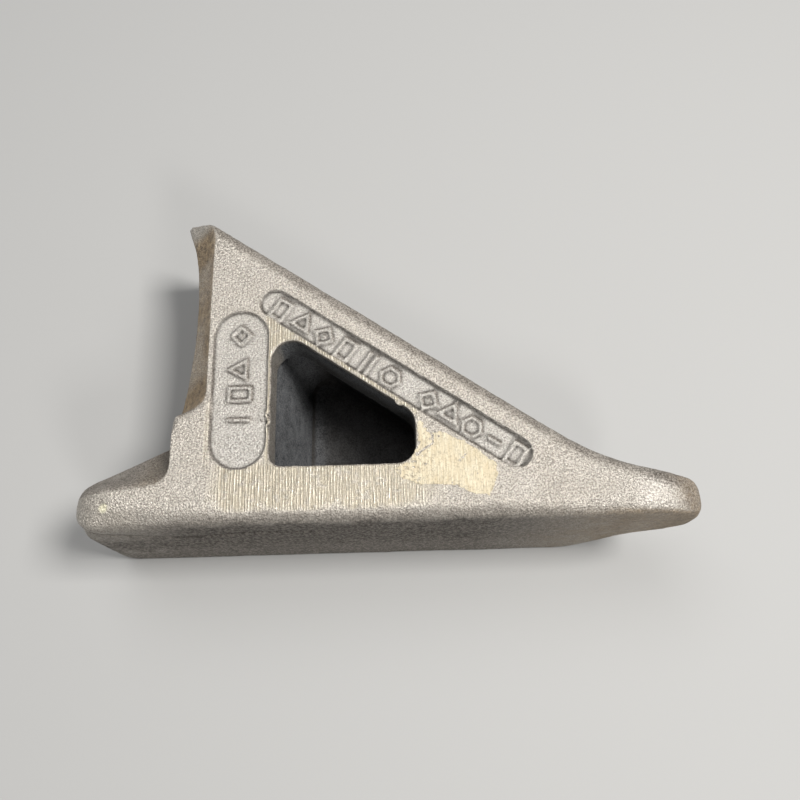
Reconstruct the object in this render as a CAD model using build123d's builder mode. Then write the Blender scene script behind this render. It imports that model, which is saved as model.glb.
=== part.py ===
from build123d import *
import os
from math import cos, radians, sin, tan

# Cast friction wedge from a railway freight bogie, lying on its side, in millimetres.
# It is one hollow iron casting with a flat friction face, a slope face and a spring seat. A torn paper
# remnant is stuck to its upper side. +X runs along the friction face from heel to toe, +Y from the
# friction face to the apex, and +Z up. The origin is under the middle of the outline.
#
# Profile sizes are given as (s, y): s is the distance from the heel end, y from the friction face.

# Driving dimensions
LENGTH = 245.0              # heel end to toe end
HEIGHT = 140.0              # friction face to the blunt apex
WIDTH = 78.0                # resting side to upper side
SLOPE = 35.0                # angle between the friction face and the slope face, degrees
SLOPE_REACH = 136.8         # heel datum to the slope face, square to it

# Heel lip and spring seat
LIP_HEIGHT = 20.5           # lip's inner face over the friction face, at the heel end
LIP_ROOT_HEIGHT = 36.8      # the same at the spring seat
SEAT_S = 36.0               # the ends of the hollow spring seat
SEAT_HOLLOW = 8.0           # depth of the seat's hollow
SEAT_START = 44.0           # the seat starts this far from the friction face
RELIEF_DEPTH = 21.0         # how far down the reliefs of seat and lip run
RELIEF_SEAT_S = 52.0        # seat edge on the upper side
STEP_S = 39.3               # step between lip and seat on the upper side
LIP_TOP_HEEL = 13.0         # lip height on the upper side, at the heel end
LIP_TOP_STEP = 17.0         # the same at the step

# Toe and ends
TOE_TOP = 22.0              # height at which slope face and toe would meet
TOE_FALL = 13.0             # fall of the toe's upper face, degrees
TOE_CUT = 36.0              # legs of the cut across the toe, on the resting side
HEEL_CUT_LENGTH = 7.0       # legs of the smaller cut across the heel, on the resting side
HEEL_CUT_HEIGHT = 12.0

# Roundings
TOE_FILLET = 95.0           # slope face into toe
END_FILLET = 7.2            # both corners of the toe end
HEEL_FILLET = 10.0          # friction face into heel end
LIP_FILLET = 9.0            # heel end into the lip's inner face
UPPER_FILLET = 6.8          # edge all round the upper side
RESTING_FILLET = 2.0        # long edges of the resting side
TOE_CUT_FILLET = 14.0       # resting side into the toe's cut
LEDGE_FILLET = 9.0          # inner edge of the seat's relief
STEP_FILLET = 6.0           # step between the reliefs of lip and seat
RIM_FILLET = 0.8            # window rim

# Hollow and window
FLOOR = 17.0                # wall under the hollow
WINDOW_WALL = 17.0          # wall over the hollow, which the window goes through
WINDOW_LEFT = 77.5
WINDOW_RIGHT = 133.8
WINDOW_BOTTOM = 21.7
WINDOW_REACH = 110.7        # heel datum to the window's long side, square to it
HOLLOW_LEFT_TOP = 76.5
HOLLOW_LEFT_FLOOR = 88.0
HOLLOW_RIGHT = 156.0
HOLLOW_BOTTOM = 16.0
HOLLOW_REACH = 121.8        # heel datum to the hollow's long side, square to it

# Marking pads and raised marks
PAD_DEPTH = 1.2
MARK_RAISE = 0.9
MARK_HEIGHT = 9.6
MARK_STROKE = 1.3
SHORT_PAD = (66.7, 21.8)
SHORT_PAD_CENTRE = (65.0, 53.9)
LONG_PAD = (127.0, 12.4)
LONG_PAD_CENTRE = (69.7, 119.1)     # along the slope face and square to it
MARK_ROW = 118.2                    # heel datum to the long pad's row of marks
LONG_PAD_PLACES = [15.5 + 10.8 * step for step in range(6)] + [87.5 + 10.0 * step for step in range(5)]
SHORT_PAD_PLACES = (76.6, 62.0, 51.4, 40.6)
FLOOR_MARK = (100.0, 34.0)          # middle of the raised frame in the hollow

# Paper remnant: its thickness and its torn outline, from the window's corner clockwise
PAPER = 0.3
PAPER_OUTLINE = (
    (134.4, 41.0), (140.3, 33.0), (143.0, 34.0), (152.8, 29.8), (159.9, 24.4), (164.6, 21.0),
    (165.2, 15.7), (161.3, 7.8), (155.6, 8.2), (148.5, 11.9), (136.2, 12.3), (128.1, 15.1),
    (124.1, 19.5), (131.5, 22.4), (134.4, 28.8),
)


def at(s, y):
    """The frame point at these distances from the heel end and the friction face."""
    return (s - LENGTH / 2, y - HEIGHT / 2)


def slope_y(s, reach=SLOPE_REACH):
    """Height, at s, of the line parallel to the slope face at this reach."""
    return (reach - s * sin(radians(SLOPE))) / cos(radians(SLOPE))


def slope_s(y, reach=SLOPE_REACH):
    """Where the line parallel to the slope face at this reach has height y."""
    return (reach - y * cos(radians(SLOPE))) / sin(radians(SLOPE))


def on_slope(along, reach):
    """The frame point at this distance along the slope face and this reach."""
    turn = radians(SLOPE)
    return at(along * cos(turn) + reach * sin(turn), reach * cos(turn) - along * sin(turn))


def nearest_edge(part, s, y, z):
    """The part's edge whose middle is nearest to this point."""
    return part.edges().sort_by_distance((*at(s, y), z))[0]


def ringed(side_count, radius, turn=0):
    """A raised mark: a regular polygon's outline."""
    RegularPolygon(radius, side_count, rotation=turn)
    RegularPolygon(radius - MARK_STROKE / cos(radians(180 / side_count)), side_count, rotation=turn,
                   mode=Mode.SUBTRACT)


def bars(count, turn=0):
    """A raised mark: upright bars side by side."""
    for index in range(count):
        offset = (index - (count - 1) / 2) * 2.4 * MARK_STROKE
        shift = Vector(offset, 0).rotate(Axis.Z, turn)
        with Locations(shift):
            Rectangle(MARK_STROKE, MARK_HEIGHT, rotation=turn)


def ring_mark(turn=0):
    """A raised mark: six sides."""
    ringed(6, MARK_HEIGHT / 2, turn)


def wedge_mark(turn=0):
    """A raised mark: three sides."""
    ringed(3, 0.6 * MARK_HEIGHT, turn + 90)


def diamond_mark(turn=0):
    """A raised mark: four sides, on its point, with a boss in the middle."""
    ringed(4, MARK_HEIGHT / 2, turn)
    Rectangle(MARK_STROKE, MARK_STROKE, rotation=turn + 45)


def dash_mark(turn=0):
    """A raised mark: one level bar."""
    Rectangle(0.6 * MARK_HEIGHT, 1.2 * MARK_STROKE, rotation=turn)


def twin_mark(turn=0):
    """A raised mark: two upright bars."""
    bars(2, turn)


def post_mark(turn=0):
    """A raised mark: one upright bar."""
    bars(1, turn)


def frame_mark(turn=0):
    """A raised mark: an upright frame."""
    Rectangle(0.7 * MARK_HEIGHT, MARK_HEIGHT, rotation=turn)
    Rectangle(0.7 * MARK_HEIGHT - 2 * MARK_STROKE, MARK_HEIGHT - 2 * MARK_STROKE, rotation=turn,
              mode=Mode.SUBTRACT)


LONG_PAD_FIGURES = (
    frame_mark, wedge_mark, diamond_mark, frame_mark, twin_mark, ring_mark,
    diamond_mark, wedge_mark, ring_mark, dash_mark, frame_mark,
)
SHORT_PAD_FIGURES = (diamond_mark, wedge_mark, frame_mark, post_mark)

seat_middle = (SEAT_S + SEAT_HOLLOW, (SEAT_START + HEIGHT) / 2)
toe_start = slope_s(TOE_TOP)
toe_end_y = TOE_TOP - (LENGTH - toe_start) * tan(radians(TOE_FALL))
clear = 20.0                # how far the cutting solids stand out of the casting

# Upper side of the seat: a slanted relief from the hollow seat out to a straight edge.
with BuildPart() as seat_relief:
    with BuildSketch(Plane.XZ.offset(HEIGHT / 2 - SEAT_START)):
        with BuildLine():
            Polyline(
                (RELIEF_SEAT_S - LENGTH / 2, WIDTH), (SEAT_S - LENGTH / 2, WIDTH - RELIEF_DEPTH),
                (-clear - LENGTH / 2, WIDTH - RELIEF_DEPTH), (-clear - LENGTH / 2, WIDTH),
                close=True,
            )
        make_face()
    extrude(amount=-(HEIGHT + clear - SEAT_START))
    relief_edge = ((SEAT_S + RELIEF_SEAT_S) / 2, SEAT_START, WIDTH - RELIEF_DEPTH / 2)
    fillet(nearest_edge(seat_relief, *relief_edge), LEDGE_FILLET)

# Upper side of the lip: a relief from the lip's inner face down to the thinner lip.
lip_fall = (LIP_ROOT_HEIGHT - LIP_HEIGHT) / SEAT_S
lip_top_fall = (LIP_TOP_STEP - LIP_TOP_HEEL) / STEP_S
with BuildPart() as lip_relief:
    for level, left_y, right_s, right_y in (
        (WIDTH - RELIEF_DEPTH, LIP_HEIGHT - clear * lip_fall, SEAT_S, LIP_ROOT_HEIGHT),
        (WIDTH, LIP_TOP_HEEL - clear * lip_top_fall, STEP_S, LIP_TOP_STEP),
    ):
        with BuildSketch(Plane.XY.offset(level)):
            with BuildLine():
                Polyline(
                    at(-clear, left_y), at(right_s, right_y),
                    at(right_s, SEAT_START + clear / 2), at(-clear, SEAT_START + clear / 2),
                    close=True,
                )
            make_face()
    loft(ruled=True)
    step_edge = (
        (SEAT_S + STEP_S) / 2, (LIP_ROOT_HEIGHT + LIP_TOP_STEP) / 2, WIDTH - RELIEF_DEPTH / 2,
    )
    fillet(nearest_edge(lip_relief, *step_edge), STEP_FILLET)

# The outline seen along the casting's height: heel and toe corners are cut on the resting side.
with BuildPart() as plan:
    with BuildSketch(Plane.XZ):
        with BuildLine():
            FilletPolyline(
                (-LENGTH / 2, WIDTH + clear), (-LENGTH / 2, HEEL_CUT_HEIGHT),
                (HEEL_CUT_LENGTH - LENGTH / 2, 0), (LENGTH / 2 - TOE_CUT, 0),
                (LENGTH / 2, TOE_CUT), (LENGTH / 2, WIDTH + clear),
                radius=(0, 0, 0, TOE_CUT_FILLET, 0, 0),
                close=True,
            )
        make_face()
    extrude(amount=HEIGHT, both=True)

# The hollow narrows towards its floor on the seat side.
with BuildPart() as hollow:
    for level, left in ((FLOOR, HOLLOW_LEFT_FLOOR), (WIDTH - WINDOW_WALL, HOLLOW_LEFT_TOP)):
        with BuildSketch(Plane.XY.offset(level)):
            with BuildLine():
                FilletPolyline(
                    at(left, HOLLOW_BOTTOM), at(HOLLOW_RIGHT, HOLLOW_BOTTOM),
                    at(HOLLOW_RIGHT, slope_y(HOLLOW_RIGHT, HOLLOW_REACH)),
                    at(left, slope_y(left, HOLLOW_REACH)),
                    radius=(6, 6, 6, 8),
                    close=True,
                )
            make_face()
    loft(ruled=True)

with BuildPart() as wedge_casting:
    with BuildSketch():
        with BuildLine():
            FilletPolyline(
                at(SEAT_S, HEIGHT),
                at(slope_s(HEIGHT), HEIGHT),
                at(toe_start, TOE_TOP),
                at(LENGTH, toe_end_y),
                at(LENGTH, 0),
                at(0, 0),
                at(0, LIP_HEIGHT),
                at(SEAT_S, LIP_ROOT_HEIGHT),
                at(SEAT_S, SEAT_START),
                radius=(0, TOE_FILLET, END_FILLET, END_FILLET, HEEL_FILLET, LIP_FILLET, 0),
            )
            ThreePointArc(at(SEAT_S, SEAT_START), at(*seat_middle), at(SEAT_S, HEIGHT))
        make_face()
    extrude(amount=WIDTH)
    fillet(nearest_edge(wedge_casting, LENGTH / 2, 0, WIDTH), UPPER_FILLET)

    add(seat_relief.part, mode=Mode.SUBTRACT)
    add(lip_relief.part, mode=Mode.SUBTRACT)
    add(plan.part, mode=Mode.INTERSECT)
    resting_edges = [
        nearest_edge(wedge_casting, LENGTH / 2, 0, 0),
        nearest_edge(wedge_casting, LENGTH / 2, slope_y(LENGTH / 2), 0),
    ]
    fillet(resting_edges, RESTING_FILLET)

    # The hollow, and the window into it with its rim edge eased.
    add(hollow.part, mode=Mode.SUBTRACT)
    with BuildSketch(Plane.XY.offset(WIDTH)):
        with BuildLine():
            FilletPolyline(
                at(WINDOW_LEFT, WINDOW_BOTTOM),
                at(WINDOW_RIGHT, WINDOW_BOTTOM),
                at(WINDOW_RIGHT, slope_y(WINDOW_RIGHT, WINDOW_REACH)),
                at(WINDOW_LEFT, slope_y(WINDOW_LEFT, WINDOW_REACH)),
                radius=(4.5, 7.5, 7.5, 8),
                close=True,
            )
        make_face()
    extrude(amount=-(WINDOW_WALL + 1), mode=Mode.SUBTRACT)
    rim_middle = (WINDOW_BOTTOM + slope_y(WINDOW_LEFT, WINDOW_REACH)) / 2
    fillet(nearest_edge(wedge_casting, WINDOW_LEFT, rim_middle, WIDTH), RIM_FILLET)

    # Two recessed marking pads, one beside the window and one along the slope face.
    with BuildSketch(Plane.XY.offset(WIDTH)):
        with Locations(at(*SHORT_PAD_CENTRE)):
            SlotOverall(*SHORT_PAD, rotation=90)
        with Locations(on_slope(*LONG_PAD_CENTRE)):
            SlotOverall(*LONG_PAD, rotation=-SLOPE)
    extrude(amount=-PAD_DEPTH, mode=Mode.SUBTRACT)

    # Plain raised figures on the pads, and one on the floor of the hollow.
    with BuildSketch(Plane.XY.offset(WIDTH - PAD_DEPTH)):
        for place, figure in zip(LONG_PAD_PLACES, LONG_PAD_FIGURES):
            with Locations(on_slope(place, MARK_ROW)):
                figure(-SLOPE)
        for place, figure in zip(SHORT_PAD_PLACES, SHORT_PAD_FIGURES):
            with Locations(at(SHORT_PAD_CENTRE[0], place)):
                figure(90)
    extrude(amount=MARK_RAISE)
    with BuildSketch(Plane.XY.offset(FLOOR)):
        with Locations(at(*FLOOR_MARK)):
            frame_mark(90)
    extrude(amount=MARK_RAISE)
wedge_casting.part.label = "wedge_casting"

with BuildPart() as label_remnant:
    with BuildSketch(Plane.XY.offset(WIDTH)):
        with BuildLine():
            Polyline([at(s, y) for s, y in PAPER_OUTLINE], close=True)
        make_face()
    extrude(amount=PAPER)
label_remnant.part.label = "label_remnant"

os.makedirs("parts", exist_ok=True)
export_step(wedge_casting.part, "parts/wedge_casting.step")
export_step(label_remnant.part, "parts/label_remnant.step")
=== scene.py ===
import itertools
import math

import bpy
import numpy as np
from mathutils import Matrix, Vector


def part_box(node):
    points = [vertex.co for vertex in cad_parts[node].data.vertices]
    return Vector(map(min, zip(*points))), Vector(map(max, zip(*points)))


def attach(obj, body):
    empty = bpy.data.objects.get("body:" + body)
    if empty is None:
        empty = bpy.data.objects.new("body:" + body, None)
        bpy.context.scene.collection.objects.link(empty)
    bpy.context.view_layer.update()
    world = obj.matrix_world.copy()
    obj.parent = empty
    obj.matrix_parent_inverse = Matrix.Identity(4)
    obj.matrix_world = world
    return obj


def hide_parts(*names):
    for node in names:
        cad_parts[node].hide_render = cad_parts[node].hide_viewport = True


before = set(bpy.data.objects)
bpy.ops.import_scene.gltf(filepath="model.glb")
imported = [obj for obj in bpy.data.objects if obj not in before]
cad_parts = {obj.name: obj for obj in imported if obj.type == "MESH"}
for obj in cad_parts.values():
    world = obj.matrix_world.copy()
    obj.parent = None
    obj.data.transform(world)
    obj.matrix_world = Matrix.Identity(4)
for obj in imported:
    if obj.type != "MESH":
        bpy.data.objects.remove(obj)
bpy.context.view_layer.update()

# The casting lies on its side. Its own measures are in millimetres, as in the part's source:
# s from the heel end along the friction face, y from the friction face to the apex, z up.
MM = 0.001
LOW, HIGH = (Vector(corner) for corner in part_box("wedge_casting"))
LENGTH, HEIGHT, WIDTH = (HIGH - LOW) / MM
SLOPE = math.radians(35.0)
VOXEL = 0.5                 # of the remeshed casting
TOE_START, HEEL_END = 219.0, 23.0            # s where the domed ends start
TOE_DROP, HEEL_DROP = 12.5, 15.0             # of the domes at their outer ends
DOME_LOW, DOME_HIGH = 62.0, 78.0             # z where the drop starts and where it is whole
UNDERCUT = 36.0             # length of the CAD toe's own cut-back underside, at 45 degrees
SIDE_MARGIN = 0.02          # kept between the skin and the CAD box's sides
UPPER_SPARE = 0.1           # that the skin may rise over the side face, within the box
LABEL_CELL = 0.28           # of the label's grid
LABEL_THICK = 0.12
LABEL_LIFT, LABEL_CURL = 0.07, 0.05          # over the skin, and more at the torn edge
LABEL_TOP = 0.28            # the most it rises over the side face
SHORT_PAD = ((65.0, 53.9), 66.7, 21.8, math.radians(90.0))   # centre, length, width, turn
LONG_PAD = ((125.4, 57.6), 127.0, 12.4, -SLOPE)
TOE_UNDERSIDE = (           # s, and z of the underside there
    (196.0, 203.0, 207.5, 211.5, 215.7, 220.2, 225.0, 231.0, 236.3, 240.7, 243.0, 245.0),
    (0.0, 2.6, 6.4, 12.0, 18.5, 25.5, 31.0, 35.0, 38.5, 43.5, 48.0, 53.0),
)
PAPER_OUTLINE = (           # s and y
    (134.4, 41.0), (140.3, 33.0), (143.0, 34.0), (152.8, 29.8), (159.9, 24.4), (164.6, 21.0),
    (165.2, 15.7), (161.3, 7.8), (155.6, 8.2), (148.5, 11.9), (136.2, 12.3), (128.1, 15.1),
    (124.1, 19.5), (131.5, 22.4), (134.4, 28.8),
)
CRACK = (                   # in the label
    (134.1, 24.2), (135.7, 25.8), (138.1, 27.3), (140.5, 28.9), (140.5, 30.5), (139.9, 32.9),
    (138.4, 34.2),
)


# ---------------------------------------------------------------- camera and studio
FOCAL = 36.09               # mm, on a 36 mm sensor
TILT = math.radians(20.0)   # from straight down
TURN = math.radians(1.64)   # of the casting in the picture
CAMERA_PLACE = (2.7 * MM, -130.8 * MM, (WIDTH + 295.85) * MM)
FLOOR_HALF = 1.5            # m
FLOOR_COLOUR, FLOOR_ROUGHNESS = (0.37, 0.37, 0.366), 0.8
AIM = (0, 0, 0.04)          # of every light
WARM = (1.0, 0.98, 0.95)    # of the key and front lights


def make_camera():
    """The photograph's view, from above the casting's upper side."""
    data = bpy.data.cameras.new("camera")
    data.sensor_width = 36.0
    data.lens = FOCAL
    data.clip_start = 0.01
    right = Vector((math.cos(TURN), -math.sin(TURN), 0))
    ahead_flat = Vector((math.sin(TURN), math.cos(TURN), 0))
    ahead = ahead_flat * math.sin(TILT) - Vector((0, 0, math.cos(TILT)))
    up = right.cross(ahead)
    camera = bpy.data.objects.new("camera", data)
    axes = Matrix((right, up, -ahead)).transposed().to_4x4()
    camera.matrix_world = Matrix.Translation(CAMERA_PLACE) @ axes
    bpy.context.scene.collection.objects.link(camera)
    bpy.context.scene.camera = camera


def area_light(name, place, size, power, colour=(1, 1, 1)):
    data = bpy.data.lights.new(name, "AREA")
    data.shape = "RECTANGLE"
    data.size, data.size_y = size
    data.energy = power
    data.color = colour
    light = bpy.data.objects.new(name, data)
    light.location = place
    light.rotation_euler = (Vector(AIM) - Vector(place)).to_track_quat("-Z", "Y").to_euler()
    bpy.context.scene.collection.objects.link(light)


def make_world(strength):
    world = bpy.data.worlds.new("studio")
    world.use_nodes = True
    background = world.node_tree.nodes["Background"]
    background.inputs["Color"].default_value = (1, 1, 1, 1)
    background.inputs["Strength"].default_value = strength
    bpy.context.scene.world = world


def make_floor():
    half = FLOOR_HALF
    mesh = bpy.data.meshes.new("floor")
    corners = [(-half, -half, 0), (half, -half, 0), (half, half, 0), (-half, half, 0)]
    mesh.from_pydata(corners, [], [(0, 1, 2, 3)])
    floor = bpy.data.objects.new("floor", mesh)
    bpy.context.scene.collection.objects.link(floor)
    material = bpy.data.materials.new("floor")
    material.use_nodes = True
    shader = material.node_tree.nodes["Principled BSDF"]
    shader.inputs["Base Color"].default_value = (*FLOOR_COLOUR, 1)
    shader.inputs["Roughness"].default_value = FLOOR_ROUGHNESS
    mesh.materials.append(material)


# ---------------------------------------------------------------- arrays and noise
HASH_AXES = np.array((73856093, 19349663, 83492791))     # mix a lattice cell into one number
HASH_SEED = 2654435761


def noise(points, cell, seed):
    """Smooth noise from -1 to 1 over points in millimetres, with lattice cells of this size."""
    scaled = points / cell + 0.37 * seed
    base = np.floor(scaled).astype(np.int64)
    part = scaled - base
    ease = part * part * (3 - 2 * part)
    total = np.zeros(len(points))
    for corner in itertools.product((0, 1), repeat=3):
        cells = base + corner
        number = np.bitwise_xor.reduce(cells * HASH_AXES, axis=1) ^ seed * HASH_SEED
        number = (number ^ (number >> 13)) * 1274126177 & 0xFFFFFFFF
        number = (number ^ (number >> 16)) * 668265263 & 0xFFFFFFFF
        value = (number >> 8 & 0xFFFF) / 32767.5 - 1
        weight = np.prod(np.where(corner, ease, 1 - ease), axis=1)
        total += value * weight
    return total


def step(low, high, value):
    """0 below low, 1 above high and smooth between."""
    part = np.clip((value - low) / (high - low), 0, 1)
    return part * part * (3 - 2 * part)


def smooth(points, edges, weight, rounds):
    """Moves each point towards the mean of its neighbours, by its weight, that many times."""
    moving = edges[(weight[edges] > 0).any(axis=1)]
    used, local = np.unique(moving, return_inverse=True)
    first, second = local.reshape(-1, 2).T
    count = len(used)
    degree = np.bincount(first, minlength=count) + np.bincount(second, minlength=count)
    pull = 0.5 * weight[used] / degree
    part = points[used].T.copy()
    for _ in range(rounds):
        for row in part:
            total = np.bincount(first, row[second], count) + np.bincount(second, row[first], count)
            row += pull * (total - degree * row)
    result = points.copy()
    result[used] = part.T
    return result


def slot_distance(s, y, centre, length, width, turn):
    """Distance to a rounded slot's outline in the upper side, less than 0 inside."""
    along = (s - centre[0]) * math.cos(turn) + (y - centre[1]) * math.sin(turn)
    across = (y - centre[1]) * math.cos(turn) - (s - centre[0]) * math.sin(turn)
    beyond = np.maximum(np.abs(along) - (length - width) / 2, 0)
    return np.hypot(beyond, across) - width / 2


def reach_of(s, y):
    """Distance from the heel datum square to the slope face."""
    return s * math.sin(SLOPE) + y * math.cos(SLOPE)


# ---------------------------------------------------------------- meshes
def remeshed(node, voxel):
    """A copy of a CAD node's mesh, rebuilt as an even skin."""
    source = bpy.data.objects.new("source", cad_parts[node].data.copy())
    bpy.context.scene.collection.objects.link(source)
    remesh = source.modifiers.new("remesh", "REMESH")
    remesh.mode = "VOXEL"
    remesh.voxel_size = voxel * MM
    graph = bpy.context.evaluated_depsgraph_get()
    mesh = bpy.data.meshes.new_from_object(source.evaluated_get(graph))
    bpy.data.objects.remove(source)
    return mesh


def mesh_points(mesh):
    """The mesh's points as (s, y, z) in millimetres."""
    flat = np.zeros(len(mesh.vertices) * 3)
    mesh.vertices.foreach_get("co", flat)
    return (flat.reshape(-1, 3) - np.array(LOW)) / MM


def set_points(mesh, points):
    mesh.vertices.foreach_set("co", (points * MM + np.array(LOW)).ravel())
    mesh.update()


def mesh_normals(mesh):
    flat = np.zeros(len(mesh.vertices) * 3)
    mesh.vertex_normals.foreach_get("vector", flat)
    return flat.reshape(-1, 3)


def mesh_edges(mesh):
    flat = np.zeros(len(mesh.edges) * 2, np.int64)
    mesh.edges.foreach_get("vertices", flat)
    return flat.reshape(-1, 2)


def save_mask(mesh, name, values):
    """Stores a mask on the mesh, for the material to read by its name."""
    attribute = mesh.attributes.new(name, "FLOAT", "POINT")
    attribute.data.foreach_set("value", np.clip(values, 0, 1).astype(np.float32))


def make_piece(name, mesh, node, material):
    """Puts a finished mesh in the scene, in the place of its CAD node."""
    mesh.name = name
    mesh.materials.clear()
    mesh.materials.append(material)
    mesh.shade_smooth()
    piece = bpy.data.objects.new(name, mesh)
    bpy.context.scene.collection.objects.link(piece)
    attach(piece, "root")
    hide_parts(node)


# ---------------------------------------------------------------- the casting's shape
def fuller_corner(across, down, size, power, way=1):
    """Swells a corner of this size, whose sides are at 0 and 0, from a quarter round to a
    superellipse of this power, or the other way."""
    part_across, part_down = np.clip(1 - across / size, 0, 1), np.clip(1 - down / size, 0, 1)
    bulge = (part_across ** power + part_down ** power) ** (1 / power)
    swell = (np.maximum(np.hypot(part_across, part_down), 1e-6) / np.maximum(bulge, 1e-6)) ** way
    inside = (across < size) & (down < size)
    return (
        np.where(inside, size * (1 - part_across * swell), across),
        np.where(inside, size * (1 - part_down * swell), down),
    )


def shape_ends(points):
    """Rounds heel and toe as the moulded ends are: domed above, and the toe cut up from below."""
    s, y, z = points.T.copy()
    old_low = np.maximum(s - (LENGTH - UNDERCUT), 0)
    new_low = np.interp(s, *TOE_UNDERSIDE)
    lifted = new_low + (z - old_low) * (WIDTH - new_low) / (WIDTH - old_low)
    z = np.where(s > TOE_UNDERSIDE[0][0], lifted, z)

    toe = np.clip((s - TOE_START) / (LENGTH - TOE_START), 0, 1)
    heel = np.clip(1 - s / HEEL_END, 0, 1)
    drop = TOE_DROP * (1 - np.sqrt(1 - toe ** 2)) + HEEL_DROP * (1 - np.sqrt(1 - heel ** 2))
    z -= drop * np.clip((z - DOME_LOW) / (DOME_HIGH - DOME_LOW), 0, 1)

    # The corners beside the friction face are fuller than a quarter circle.
    near_s, near_y = fuller_corner(s, y, 10.0, 6)
    low = step(64, 50, z)
    s, y = s + low * (near_s - s), y + low * (near_y - y)
    away, near_y = fuller_corner(LENGTH - s, y, 7.2, 9)
    low = step(72, 62, z)
    s, y = s + low * (LENGTH - away - s), y + low * (near_y - y)

    # The edge over the friction face is rounder at the heel.
    heel = step(62, 25, s)
    round_y, round_down = fuller_corner(y, WIDTH - z, 13.0, 4.2, -1)
    y, z = y + heel * (round_y - y), z + heel * (WIDTH - round_down - z)

    # The apex flares out over the spring seat.
    s -= 1.3 * step(118, HEIGHT, y) * step(46, 38, s)
    return np.stack((s, y, z), axis=1)


def near(points, centre, radius):
    """1 at a point or along an upright line, falling to 0 at this radius."""
    offset = points[:, :len(centre)] - np.array(centre)
    return step(1.0, 0.35, np.linalg.norm(offset, axis=1) / radius)


def soften(points, edges):
    """The moulded casting's roundings: small all over, larger at the ends and the corners."""
    s, y, z = points.T
    upper = step(WIDTH - 16, WIDTH - 9, z)
    ends = np.maximum(step(18, 5, s), step(205, 232, s)) * (0.22 + 0.78 * step(48, 66, z))
    ends *= 1 - step(228, 238, s) * step(66, 58, z)
    slope_edge = 0.8 * step(125, 129, reach_of(s, y)) * upper
    points = smooth(points, edges, np.maximum(ends, slope_edge), 45)
    lip_edge = step(39, 35, s) * step(7, 11, y) * step(36, 30, y) * step(56, 62, z)
    points = smooth(points, edges, 0.9 * lip_edge, 130)
    points = smooth(points, edges, near(points, (38, HEIGHT), 7), 30)
    points = smooth(points, edges, near(points, (42, HEIGHT, WIDTH), 8), 70)
    corner = np.maximum(near(points, (38, 43.5), 8), near(points, (46, 46), 10)) * step(45, 55, z)
    points = smooth(points, edges, corner, 110)
    return smooth(points, edges, np.where(z > WIDTH - 2, 0.5, 0.9), 2)


def ground_places(points):
    """Where the raw skin has been belt-ground to a flat: round the window, below it most of all."""
    s, y, z = points.T
    ragged = 0.9 * noise(points * (1, 0.35, 1), 2.0, 11)
    ragged += 1.2 * noise(points * (1, 0.3, 1), 7.0, 12)
    below = step(52, 60, s + 2.5 * ragged) * step(146, 124, s + 4 * ragged)
    below *= step(2.6, 6.5, y + 1.3 * ragged) * step(25, 21, y)
    beside = step(74.8, 76.2, s) * step(79, 77, s) * step(19, 26, y) * step(86, 78, y)
    above = step(74, 78, s + ragged) * step(95, 88, s) * step(68, 72, y)
    above *= step(113.6, 112.4, reach_of(s, y))
    land = step(109.5, 110.7, reach_of(s, y)) * step(113.4, 112.6, reach_of(s, y)) * step(84, 88, s)
    land *= step(137, 133, s)
    left = step(51.6, 52.6, s) * step(55.4, 54.4, s) * step(20, 26, y)
    left *= step(50, 42, y + 2 * ragged)
    places = np.maximum.reduce((below, beside, above, land, 0.6 * left))
    pits = step(0.15, 0.75, noise(points, 1.3, 13) + 0.5 * noise(points, 3.1, 14))
    return places * (1 - 0.6 * pits) * step(WIDTH - 1.0, WIDTH - 0.4, z)


def lift_of(points, ground):
    """Height of the cast skin over the plain shape."""
    wave = 0.20 * noise(points, 24.0, 1) + 0.10 * noise(points, 9.0, 2)
    grain = 0.045 * noise(points, 2.7, 3) + 0.075 * noise(points, 1.35, 4)
    streaks = 0.035 * noise(points * (1, 0.14, 1), 0.9, 5)
    streaks += 0.025 * noise(points * (1, 0.1, 1), 2.2, 6)
    raw = wave + grain
    flat = 0.03 + 0.25 * wave + streaks
    return raw + ground * (flat - raw) - 0.18


def crease_of(points, normals):
    """Strength of the crease along the heel's friction face: 1 along its middle."""
    crease = np.interp(points[:, 0], (0, 8, 37, 71, 110), (62, 60, 51, 57, 57))
    crease += 1.2 * noise(points * (1, 1, 0), 14.0, 25)
    face = step(0.5, 0.9, -normals[:, 1]) * step(115, 70, points[:, 0])
    return face * np.exp(-((points[:, 2] - crease) / 2.2) ** 2)


def rough_details(points, normals):
    """Crease along the heel's friction face, broken flash, rim burr, a dent and wavering marks."""
    s, y, z = points.T.copy()
    upper = step(WIDTH - 4, WIDTH - 2, z)
    waver = 0.12 * upper * step(40, 60, s)
    s_new = s + waver * noise(points, 4.0, 21)
    y_new = y + waver * noise(points, 4.0, 22)

    y_new += 0.6 * crease_of(points, normals)
    flash = near(points, (75.6, 40.5, WIDTH), 5.5)
    s_new += flash * 0.9 * noise(points, 1.6, 23)
    z_new = z + flash * 0.35 * noise(points, 1.4, 24)
    burr = near(points, (127.6, 45.8, WIDTH - 0.4), 2.4)
    s_new -= 0.5 * burr
    y_new -= 0.8 * burr
    dent = near(points, (14.0, 9.3), 1.7) * upper
    z_new -= 0.35 * dent
    return np.stack((s_new, y_new, z_new), axis=1)


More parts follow.
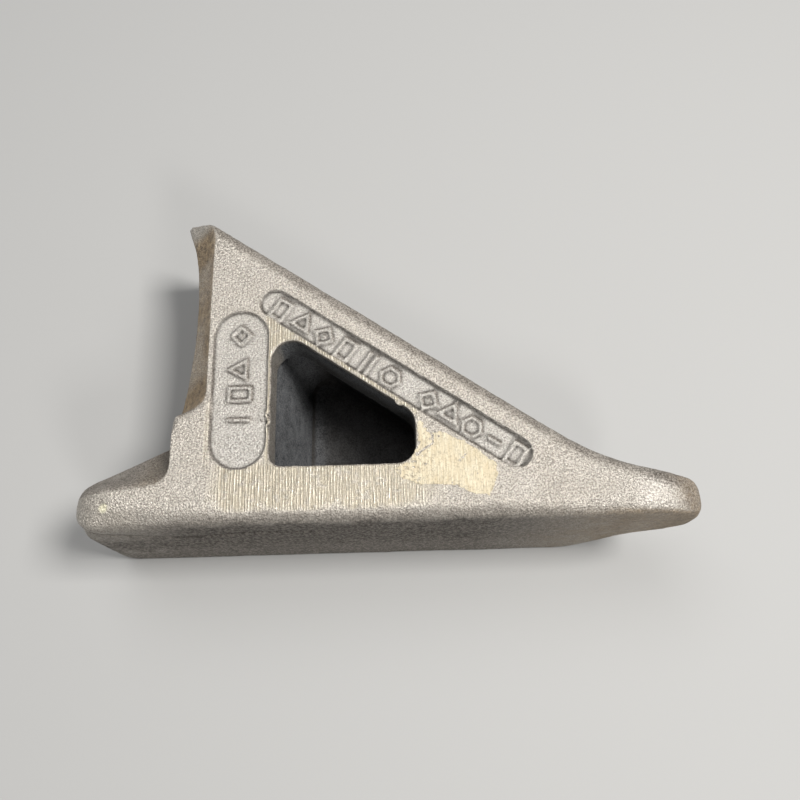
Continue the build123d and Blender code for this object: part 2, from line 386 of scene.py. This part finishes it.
def casting_masks(points, normals, edges, ground):
    """Where each look belongs on the casting, by name, worked out from the shape under the skin."""
    s, y, z = points.T
    side, along, upward = normals.T
    reach = reach_of(s, y)
    upper = step(WIDTH - 3, WIDTH - 2, z)
    ragged = noise(points, 6.0, 41) + 0.6 * noise(points, 2.5, 42)

    # Painted shade in the hollow, except on the part of its wall that the light reaches, and
    # lighter on the raised mark on its floor.
    in_hollow = (s > 74) & (s < 158) & (y > 14) & (reach < 123.5) & (z > 15)
    lit_wall = step(0.5, 0.9, side) * step(WIDTH - 19, WIDTH - 15, z)
    floor_mark = step(17.3, 17.6, z) * step(18.8, 18.4, z) * step(0.4, 0.8, upward)
    hollow_shade = in_hollow * step(WIDTH - 1.2, WIDTH - 3.0, z)
    hollow_shade = hollow_shade * (1 - 0.85 * lit_wall) * (1 - 0.3 * floor_mark)

    # Painted shade on the friction face, darkest under its upper edge and paler at the heel and the
    # toe.
    onset = 0.45 - 0.25 * step(25, 65, s) * step(225, 165, s)
    friction_shade = step(onset, onset + 0.6, -along + 0.12 * ragged) * (1 - hollow_shade)
    friction_shade *= 0.6 + 0.4 * step(78, 66, z + 4 * ragged) - 0.16 * step(42, 12, z + 8 * ragged)
    friction_shade *= 1 - 0.5 * step(52, 10, s) * step(36, 66, z + 6 * ragged)
    friction_shade *= 1 - 0.45 * step(150, 215, s)

    # Painted shade on the slope face's edge and at the toe's rim, a painted shadow of the ledge on
    # the lip, darkest near the ledge, and the toe's far side darkened.
    slope_side = 0.95 * step(0.04, 0.38, side * math.sin(SLOPE) + along * math.cos(SLOPE))
    toe_far = 0.9 * step(0.2, 0.6, along) * step(185, 215, s)
    toe_rim = step(0.13, 0.5, side) * step(221, 236, s)
    lip_face = step(0.08, 0.45, along) * step(41, 38, s) * step(44, 40, y)
    lip_shadow = lip_face * (0.85 + 0.35 * step(14, 28, s))
    dirt_and_shade = np.maximum.reduce((slope_side, toe_far, lip_shadow, toe_rim))
    dirt_and_shade *= (1 - hollow_shade) * np.clip(1 + 0.22 * ragged, 0, 1.1)

    # Rust on the spring seat and on the toe's flank and underside; painted shadow in the lip's
    # valley and painted shade at the toe's rim.
    valley = lip_face * step(22, 33, s)
    seat = step(0.25, 0.7, -side) * step(42, 46, y) * step(134, 125, y) * step(56, 50, s)
    patchy = 0.88 + 0.4 * noise(points, 9.0, 43)
    seat *= np.clip(patchy + 0.35 * step(118, 132, y) + 0.35 * step(58, 48, y), 0, 1)
    toe_side = step(0.5, 0.95, np.maximum(-along, -upward)) * step(172, 232, s + 7 * ragged)
    rust_and_shade = np.maximum.reduce((seat, 0.2 * valley, 0.7 * toe_side, 0.35 * toe_rim))

    # Painted shade in recesses, by how far a point lies below the mean of its surroundings, with
    # more along the heel's crease, in the lip's valley and deep in the hollow.
    spread = smooth(points, edges, np.ones(len(points)), 11)
    depth = np.einsum("ij,ij->i", spread - points, normals)
    far_edge = step(2, 5, reach - reach_of(*LONG_PAD[0])) * step(90, 120, s)
    crease = crease_of(points, normals) * step(-0.6, 0.3, ragged) * step(95, 60, s)
    shade = in_hollow * step(84, 98, s) * step(WIDTH - 4, WIDTH - 14, z)
    recess_shade = depth / (0.18 - 0.07 * far_edge) - 0.2 + 0.5 * crease + 0.4 * valley + shade

    in_pads = np.minimum(slot_distance(s, y, *SHORT_PAD), slot_distance(s, y, *LONG_PAD))
    return {
        # A lighter, smoother spot on the toe where the highlight falls: its lighter colour is a
        # painted highlight.
        "polish_highlight": near(points, (226, 7.5), 14),
        "pad": step(0.4, -0.2, in_pads) * upper,
        "ground": ground,
        "ding": near(points, (14.9, 7.4), 2.3) * step(0.5, 0.8, upward),
        # recess, hollow and friction are painted shade; dirt and rust hold painted shade and shadow
        # in part.
        "recess_shade": recess_shade,
        "hollow_shade": hollow_shade,
        "friction_shade": friction_shade,
        "dirt_and_shade": dirt_and_shade,
        "rust_and_shade": rust_and_shade,
    }


def make_casting(material):
    """The casting: shaped, roughened, and then given its skin along the plain shape's normals."""
    mesh = remeshed("wedge_casting", VOXEL)
    edges = mesh_edges(mesh)
    points = soften(shape_ends(mesh_points(mesh)), edges)
    set_points(mesh, points)
    points = rough_details(points, mesh_normals(mesh))
    set_points(mesh, points)

    normals = mesh_normals(mesh)
    ground = ground_places(points) * step(0.7, 0.95, normals[:, 2])
    skin = points + normals * lift_of(points, ground)[:, None]
    most = (LENGTH - SIDE_MARGIN, HEIGHT - SIDE_MARGIN, WIDTH + UPPER_SPARE)
    set_points(mesh, np.clip(skin, SIDE_MARGIN, most))
    for name, values in casting_masks(points, normals, edges, ground).items():
        save_mask(mesh, name, values)
    make_piece("casting", mesh, "wedge_casting", material)


# ---------------------------------------------------------------- the torn label
def outline_distance(s, y, outline):
    """Distance to a closed outline, less than 0 inside."""
    corners = np.array(outline)
    nearest = np.full(s.shape, 1e9)
    inside = np.zeros(s.shape, bool)
    for (s0, y0), (s1, y1) in zip(corners, np.roll(corners, -1, axis=0)):
        run = np.array((s1 - s0, y1 - y0))
        part = np.clip(((s - s0) * run[0] + (y - y0) * run[1]) / (run @ run), 0, 1)
        nearest = np.minimum(nearest, np.hypot(s - s0 - part * run[0], y - y0 - part * run[1]))
        crosses = ((y0 > y) != (y1 > y)) & (s < (s1 - s0) * (y - y0) / (y1 - y0 + 1e-12) + s0)
        inside ^= crosses
    return np.where(inside, -nearest, nearest)


def path_distance(s, y, path):
    """Distance to an open path."""
    nearest = np.full(s.shape, 1e9)
    for (s0, y0), (s1, y1) in zip(path, path[1:]):
        run_s, run_y = s1 - s0, y1 - y0
        part = np.clip(((s - s0) * run_s + (y - y0) * run_y) / (run_s ** 2 + run_y ** 2), 0, 1)
        nearest = np.minimum(nearest, np.hypot(s - s0 - part * run_s, y - y0 - part * run_y))
    return nearest


def outline_gap(flat):
    """More than 0 in the label's worn holes and along its crack."""
    s, y = flat[:, 0], flat[:, 1]
    patchy = noise(flat, 1.1, 33) + 0.7 * noise(flat, 3.4, 34)
    holes = patchy - 1.05 + 0.28 * step(143, 131, s)
    crack = 0.2 + 0.1 * noise(flat, 1.0, 35) - path_distance(s, y, CRACK)
    return np.maximum(holes, crack)


def make_label(material):
    """The paper: a grid cut along the torn outline, laid on the skin beneath and thickened."""
    corners = np.array(PAPER_OUTLINE)
    low, high = corners.min(axis=0) - 1, corners.max(axis=0) + 1
    columns, rows = np.ceil((high - low) / LABEL_CELL).astype(int)
    across = low[0] + LABEL_CELL * np.arange(columns)
    upwards = low[1] + LABEL_CELL * np.arange(rows)
    s, y = np.meshgrid(across, upwards, indexing="ij")
    flat = np.stack((s.ravel(), y.ravel(), np.full(s.size, WIDTH)), axis=1)
    torn = outline_distance(s, y, PAPER_OUTLINE).ravel()
    torn += 0.25 + 0.5 * noise(flat, 3.0, 31) + 0.35 * noise(flat, 1.2, 32)
    torn = np.maximum(torn, outline_gap(flat))
    keep = (torn < 0).reshape(s.shape)
    index = np.arange(s.size).reshape(s.shape)
    whole, quads = (
        np.stack((grid[:-1, :-1], grid[1:, :-1], grid[1:, 1:], grid[:-1, 1:]), axis=-1)
        for grid in (keep, index)
    )
    quads = quads[whole.all(axis=-1)]

    ground = ground_places(flat)
    skin = lift_of(flat, ground)
    curl = LABEL_CURL * step(-1.2, 0, torn)
    top = flat.copy()
    top[:, 2] = np.clip(WIDTH + skin + LABEL_LIFT + curl, 0, WIDTH + LABEL_TOP)
    used, quads = np.unique(quads, return_inverse=True)
    quads = quads.reshape(-1, 4)
    mesh = bpy.data.meshes.new("label")
    mesh.from_pydata((top[used] * MM + np.array(LOW)).tolist(), [], quads.tolist())
    sheet = bpy.data.objects.new("sheet", mesh)
    bpy.context.scene.collection.objects.link(sheet)
    solid = sheet.modifiers.new("solid", "SOLIDIFY")
    solid.thickness = LABEL_THICK * MM
    solid.offset = -1
    graph = bpy.context.evaluated_depsgraph_get()
    mesh = bpy.data.meshes.new_from_object(sheet.evaluated_get(graph))
    bpy.data.objects.remove(sheet)
    points = mesh_points(mesh)
    worn = step(-2.5, 0, outline_distance(points[:, 0], points[:, 1], PAPER_OUTLINE))
    worn = np.maximum(worn, step(146, 130, points[:, 0]))
    save_mask(mesh, "worn", worn)
    make_piece("label", mesh, "label_remnant", material)


# ---------------------------------------------------------------- materials
# Base colours, linear. A pair is the two ends of a mix.
CAST = (0.65, 0.603, 0.537), (0.74, 0.697, 0.635)
CAST_PATCH = (0.58, 0.525, 0.455)
CAST_PAD = (0.58, 0.58, 0.565)
# A painted highlight on the toe.
CAST_HIGHLIGHT = (0.86, 0.86, 0.85)
CAST_GAP = (0.20, 0.18, 0.155)              # between the grains
BARE = (0.37, 0.33, 0.26), (0.98, 0.915, 0.765)          # belt-ground, between lines and on them
BARE_GAP = (0.22, 0.195, 0.15)
DING = (0.92, 0.87, 0.66)
# Painted shade and painted shadow, and the darkened far side of the toe, with lighter specks.
GRIME_AND_SHADE = (0.065, 0.055, 0.045), (0.11, 0.096, 0.082)
GRIME_AND_SHADE_SPECK = (0.54, 0.495, 0.44)
# Painted shade on the friction face, with lighter dashes of grain in it.
FRICTION_SHADE = (0.045, 0.039, 0.034), (0.095, 0.083, 0.071)      # on the friction face
FRICTION_SHADE_DASH = (0.37, 0.337, 0.298)
# Rust brown, also used for painted shadow in the lip's valley and painted shade at the toe's rim.
RUST_AND_SHADE = (0.10, 0.067, 0.039), (0.40, 0.298, 0.18)
# Painted shade in the hollow, with lighter specks.
HOLLOW_SHADE = (0.04, 0.043, 0.048), (0.11, 0.115, 0.122)
HOLLOW_SHADE_SPECK = (0.28, 0.28, 0.28)
# Painted shade in recesses.
RECESS_SHADE = (0.028, 0.024, 0.02)
PAPER = (0.49, 0.425, 0.30), (0.64, 0.585, 0.45)
PAPER_STAIN = (0.60, 0.47, 0.29)
PAPER_SCUFF = (0.25, 0.215, 0.16)


class Look:
    """A material under construction. Values are numbers, colours or other nodes' outputs."""

    def __init__(self, name):
        self.material = bpy.data.materials.new(name)
        self.material.use_nodes = True
        self.tree = self.material.node_tree
        self.shader = self.tree.nodes["Principled BSDF"]

    def put(self, socket, value):
        if isinstance(value, bpy.types.NodeSocket):
            self.tree.links.new(value, socket)
        elif isinstance(value, tuple) and len(value) == 3 and socket.type == "RGBA":
            socket.default_value = (*value, 1)
        else:
            socket.default_value = value

    def add(self, kind, output, inputs, **settings):
        made = self.tree.nodes.new(kind)
        for name, value in settings.items():
            setattr(made, name, value)
        for name, value in inputs.items():
            self.put(made.inputs[name], value)
        return made.outputs[output]

    def mask(self, name):
        return self.add("ShaderNodeAttribute", "Fac", {}, attribute_name=name)

    def places(self, stretch=(1, 1, 1)):
        where = self.add("ShaderNodeTexCoord", "Object", {})
        return self.add("ShaderNodeVectorMath", 0, {0: where, 1: stretch}, operation="MULTIPLY")

    def noise(self, size_mm, detail=2.0, roughness=0.5, stretch=(1, 1, 1)):
        """Noise from 0 to 1 with features of this size."""
        inputs = {
            "Vector": self.places(stretch), "Scale": 1 / (size_mm * MM),
            "Detail": detail, "Roughness": roughness,
        }
        return self.add("ShaderNodeTexNoise", 0, inputs)

    def grains(self, size_mm):
        """Rounded grains of this size: 1 in their middles and less towards their borders."""
        inputs = {"Vector": self.places(), "Scale": 1 / (size_mm * MM)}
        far = self.add("ShaderNodeTexVoronoi", "Distance", inputs, feature="F1")
        return self.math("SUBTRACT", 1, far)

    def scores(self, period_mm):
        """Scored lines along y, about this far apart: 1 on a line and 0 between."""
        sideways = self.add("ShaderNodeSeparateXYZ", 0, {0: self.places()})
        waver = self.math("MULTIPLY", self.noise(1.6, 2, 0.5, (1, 0.12, 1)), 7.0)
        turns = self.math("MULTIPLY", sideways, math.tau / (period_mm * MM))
        lines = self.range(self.math("SINE", self.math("ADD", turns, waver), 0), -0.1, 0.9)
        breaks = self.range(self.noise(1.5, 2, 0.5, (1, 0.2, 1)), 0.36, 0.56, 0.15)
        return self.math("MULTIPLY", lines, breaks)

    def range(self, value, low, high, to_low=0.0, to_high=1.0):
        inputs = {0: value, 1: low, 2: high, 3: to_low, 4: to_high}
        return self.add("ShaderNodeMapRange", 0, inputs, clamp=True)

    def math(self, operation, first, second):
        return self.add("ShaderNodeMath", 0, {0: first, 1: second}, operation=operation)

    def mix(self, part, first, second):
        return self.add("ShaderNodeMix", 2, {0: part, 6: first, 7: second}, data_type="RGBA")

    def blend(self, part, first, second):
        """As mix, for plain numbers."""
        return self.add("ShaderNodeMix", 0, {0: part, 2: first, 3: second}, data_type="FLOAT")

    def bump(self, height, distance_mm, strength):
        inputs = {"Height": height, "Distance": distance_mm * MM, "Strength": strength}
        return self.add("ShaderNodeBump", 0, inputs)

    def finish(self, **values):
        """Sets the shader's sockets: base_color is Base Color."""
        for name, value in values.items():
            self.put(self.shader.inputs[name.replace("_", " ").title()], value)
        return self.material


def cast_iron():
    look = Look("cast_iron")
    # The recess, hollow and friction masks are painted shade; the dirt and rust masks hold painted
    # shade in part; polish holds a painted highlight.
    ground, recess_shade, hollow_shade = look.mask("ground"), look.mask("recess_shade"), look.mask("hollow_shade")
    friction_shade, rust_and_shade, dirt_and_shade = look.mask("friction_shade"), look.mask("rust_and_shade"), look.mask("dirt_and_shade")
    pad, polish_highlight = look.mask("pad"), look.mask("polish_highlight")
    clouds = look.range(look.noise(22, 4), 0.3, 0.7)
    patches = look.range(look.noise(5, 4), 0.3, 0.7)
    specks = look.range(look.noise(0.66, 3, 0.6), 0.40, 0.60)
    grains = look.grains(0.95)

    # The raw skin, and the bare metal where it is ground off.
    raw = look.mix(clouds, *CAST)
    raw = look.mix(look.math("MULTIPLY", patches, 0.3), raw, CAST_PATCH)
    raw = look.mix(look.math("MULTIPLY", pad, 0.45), raw, CAST_PAD)
    # Painted highlight on the toe.
    raw = look.mix(look.math("MULTIPLY", polish_highlight, 0.15), raw, CAST_HIGHLIGHT)
    between = look.math("SUBTRACT", 1, specks)
    gaps = look.math("MULTIPLY", between, look.range(pad, 0, 1, 0.72, 0.6))
    raw = look.mix(gaps, raw, CAST_GAP)
    streaks = look.scores(1.15)
    bare = look.mix(streaks, *BARE)
    bare = look.mix(look.math("MULTIPLY", gaps, 0.7), bare, BARE_GAP)
    colour = look.mix(ground, raw, bare)
    colour = look.mix(look.mask("ding"), colour, DING)

    # Over it painted shade and shadow, the friction face's painted shade, rust with painted shadow
    # and shade, the hollow's painted shade and painted shade in the recesses.
    # Painted shade and shadow on the slope edge, the lip and the toe's rim.
    grime_and_shade = look.mix(patches, *GRIME_AND_SHADE)
    lighter = look.math("MULTIPLY", specks, look.range(dirt_and_shade, 1.05, 1.25, 0.5, 0.3))
    grime_and_shade = look.mix(lighter, grime_and_shade, GRIME_AND_SHADE_SPECK)
    colour = look.mix(look.math("MULTIPLY", dirt_and_shade, 0.9), colour, grime_and_shade)
    # The friction face's painted shade.
    friction_shade_colour = look.mix(look.range(look.noise(3, 4), 0.3, 0.7), *FRICTION_SHADE)
    dashes = look.range(look.noise(1.15, 5, 0.65, (1, 1, 0.62)), 0.42, 0.66)
    friction_shade_colour = look.mix(look.math("MULTIPLY", dashes, 0.8), friction_shade_colour, FRICTION_SHADE_DASH)
    colour = look.mix(look.math("MULTIPLY", friction_shade, 0.95), colour, friction_shade_colour)
    # Rust, with painted shadow in the lip's valley and painted shade at the toe's rim.
    brown = look.mix(look.range(look.noise(2.4, 5, 0.6), 0.3, 0.7), *RUST_AND_SHADE)
    colour = look.mix(look.math("MULTIPLY", rust_and_shade, 0.88), colour, brown)
    # The hollow's painted shade.
    inside = look.mix(patches, *HOLLOW_SHADE)
    inside = look.mix(look.math("MULTIPLY", specks, 0.4), inside, HOLLOW_SHADE_SPECK)
    colour = look.mix(hollow_shade, colour, inside)
    # Painted shade in the recesses.
    colour = look.mix(look.math("MULTIPLY", recess_shade, 0.8), colour, RECESS_SHADE)

    # Rust and the places of painted shade are made dull.
    dull = look.math("MAXIMUM", rust_and_shade, hollow_shade)
    dull = look.math("MAXIMUM", dull, look.math("MULTIPLY", recess_shade, 0.7))
    dull = look.math("MAXIMUM", dull, look.math("MULTIPLY", friction_shade, 0.95))
    dull = look.math("MAXIMUM", dull, look.math("MULTIPLY", dirt_and_shade, 0.8))
    metal = look.blend(polish_highlight, look.blend(dull, 0.65, 0.04), 0.65)
    roughness = look.range(patches, 0, 1, 0.32, 0.42)
    roughness = look.blend(polish_highlight, look.blend(dull, roughness, 0.6), 0.39)

    # The grain too fine for the mesh.
    fine = look.noise(0.45, 3, 0.6)
    skin = look.math("ADD", look.math("MULTIPLY", grains, 0.55), fine)
    scored = look.math("MULTIPLY", look.math("ADD", streaks, fine), 0.5)
    skin = look.blend(ground, skin, scored)
    skin = look.math("MULTIPLY", skin, look.range(polish_highlight, 0, 1, 1, 0.85))
    skin = look.math("MULTIPLY", skin, look.range(friction_shade, 0, 1, 1, 2))
    look.shader.inputs["Specular IOR Level"].default_value = 0.08
    return look.finish(
        base_color=colour, metallic=metal, roughness=roughness, normal=look.bump(skin, 0.5, 1.0),
    )


def paper():
    look = Look("paper")
    worn = look.mask("worn")
    fibres = look.range(look.noise(0.7, 3, 0.6, (1, 0.12, 1)), 0.35, 0.65)
    stains = look.range(look.noise(4.5, 4, 0.6), 0.35, 0.7)
    scuffs = look.range(look.noise(0.8, 4, 0.7), 0.50, 0.62)
    colour = look.mix(fibres, *PAPER)
    colour = look.mix(look.math("MULTIPLY", stains, 0.3), colour, PAPER_STAIN)
    scuffed = look.math("MULTIPLY", scuffs, look.range(worn, 0, 1, 0.45, 0.9))
    colour = look.mix(scuffed, colour, PAPER_SCUFF)
    height = look.math("ADD", fibres, look.math("MULTIPLY", look.noise(1.4, 3), 1.5))
    roughness = look.range(stains, 0, 1, 0.75, 0.9)
    return look.finish(
        base_color=colour, roughness=roughness, normal=look.bump(height, 0.25, 0.9),
    )


make_camera()
bpy.context.scene.view_settings.view_transform = "Standard"
make_world(0.16)
area_light("key", (0.66, -0.06, 1.42), (0.4, 0.4), 28, WARM)
area_light("front", (0.45, -0.95, 0.95), (0.25, 0.25), 5, WARM)
area_light("overhead", (-0.3, 0.45, 1.4), (0.9, 0.9), 8.5)
make_floor()
make_casting(cast_iron())
make_label(paper())
